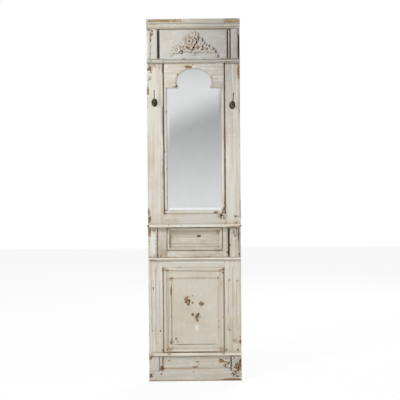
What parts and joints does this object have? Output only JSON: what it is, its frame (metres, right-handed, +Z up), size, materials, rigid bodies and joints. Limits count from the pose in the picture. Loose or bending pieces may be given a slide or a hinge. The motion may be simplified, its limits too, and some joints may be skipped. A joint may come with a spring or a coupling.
{
  "type": "shutter mirror",
  "caption": "Tall painted wooden wall panel with an arched bevelled mirror, carved frieze, narrow ledges, framed panels, fluted stiles and coat hooks.",
  "frame": {"origin": "on the wall face at the back of the frieze rail, midway between the stiles and level with the ring hangers' eyes", "axes": "+X to the viewer's right, +Z up, -Y towards the viewer; the back of the frame lies in the plane y = 0"},
  "size_m": [0.477, 0.0725, 1.83],
  "materials": {
    "painted_wood": "aged cream paint, rubbed through at the edges",
    "bare_board": "bare pressed wood board",
    "mirror_glass": "silvered glass with a wide bevel",
    "dark_bronze": "dark bronzed casting, worn",
    "plated_steel": "zinc plated",
    "black_rubber": "matte"
  },
  "bodies": {
    "panel": {"left_stile": "painted_wood", "right_stile": "painted_wood", "bottom_rail": "painted_wood", "lower_rail": "painted_wood", "mirror_rail": "painted_wood", "frieze_rail": "painted_wood", "cornice_board": "painted_wood", "frieze_panel": "painted_wood", "frieze_fillet": "painted_wood", "left_frieze_block": "painted_wood", "right_frieze_block": "painted_wood", "frieze_moulding": "painted_wood", "carved_spray": "painted_wood", "arch_board": "painted_wood", "left_mirror_bead": "painted_wood", "right_mirror_bead": "painted_wood", "bottom_mirror_bead": "painted_wood", "shelf_ledge": "painted_wood", "middle_ledge": "painted_wood", "base_ledge": "painted_wood", "middle_panel": "painted_wood", "middle_frame_left": "painted_wood", "middle_frame_right": "painted_wood", "middle_frame_rail": "painted_wood", "middle_moulding_left": "painted_wood", "middle_moulding_right": "painted_wood", "middle_moulding_top": "painted_wood", "middle_moulding_bottom": "painted_wood", "left_middle_block": "painted_wood", "right_middle_block": "painted_wood", "lower_panel": "painted_wood", "lower_moulding_left": "painted_wood", "lower_moulding_right": "painted_wood", "lower_moulding_top": "painted_wood", "lower_moulding_bottom": "painted_wood", "left_base_block": "painted_wood", "right_base_block": "painted_wood", "base_panel": "painted_wood", "base_side_strip": "painted_wood", "base_cove": "painted_wood", "plinth_board": "painted_wood", "mirror_backing": "bare_board", "mirror_glass": "mirror_glass", "left_coat_hook": "dark_bronze", "left_hook_stud": "plated_steel", "left_hanger_strap": "plated_steel", "left_hanger_screw_upper": "plated_steel", "left_hanger_screw_lower": "plated_steel", "left_bumper": "black_rubber", "right_coat_hook": "dark_bronze", "right_hook_stud": "plated_steel", "right_hanger_strap": "plated_steel", "right_hanger_screw_upper": "plated_steel", "right_hanger_screw_lower": "plated_steel", "right_bumper": "black_rubber"},
    "left_ring": {"left_hanger_ring": "plated_steel"},
    "right_ring": {"right_hanger_ring": "plated_steel"}
  },
  "joints": [
    {"name": "left_ring_swing", "type": "hinge", "parent": "panel", "child": "left_ring", "pos_m": [-0.193, 0.00335, 0], "axis": [1, 0, 0], "range_deg": [0, 180]},
    {"name": "right_ring_swing", "type": "hinge", "parent": "panel", "child": "right_ring", "pos_m": [0.193, 0.00335, 0], "axis": [1, 0, 0], "range_deg": [0, 180]}
  ]
}
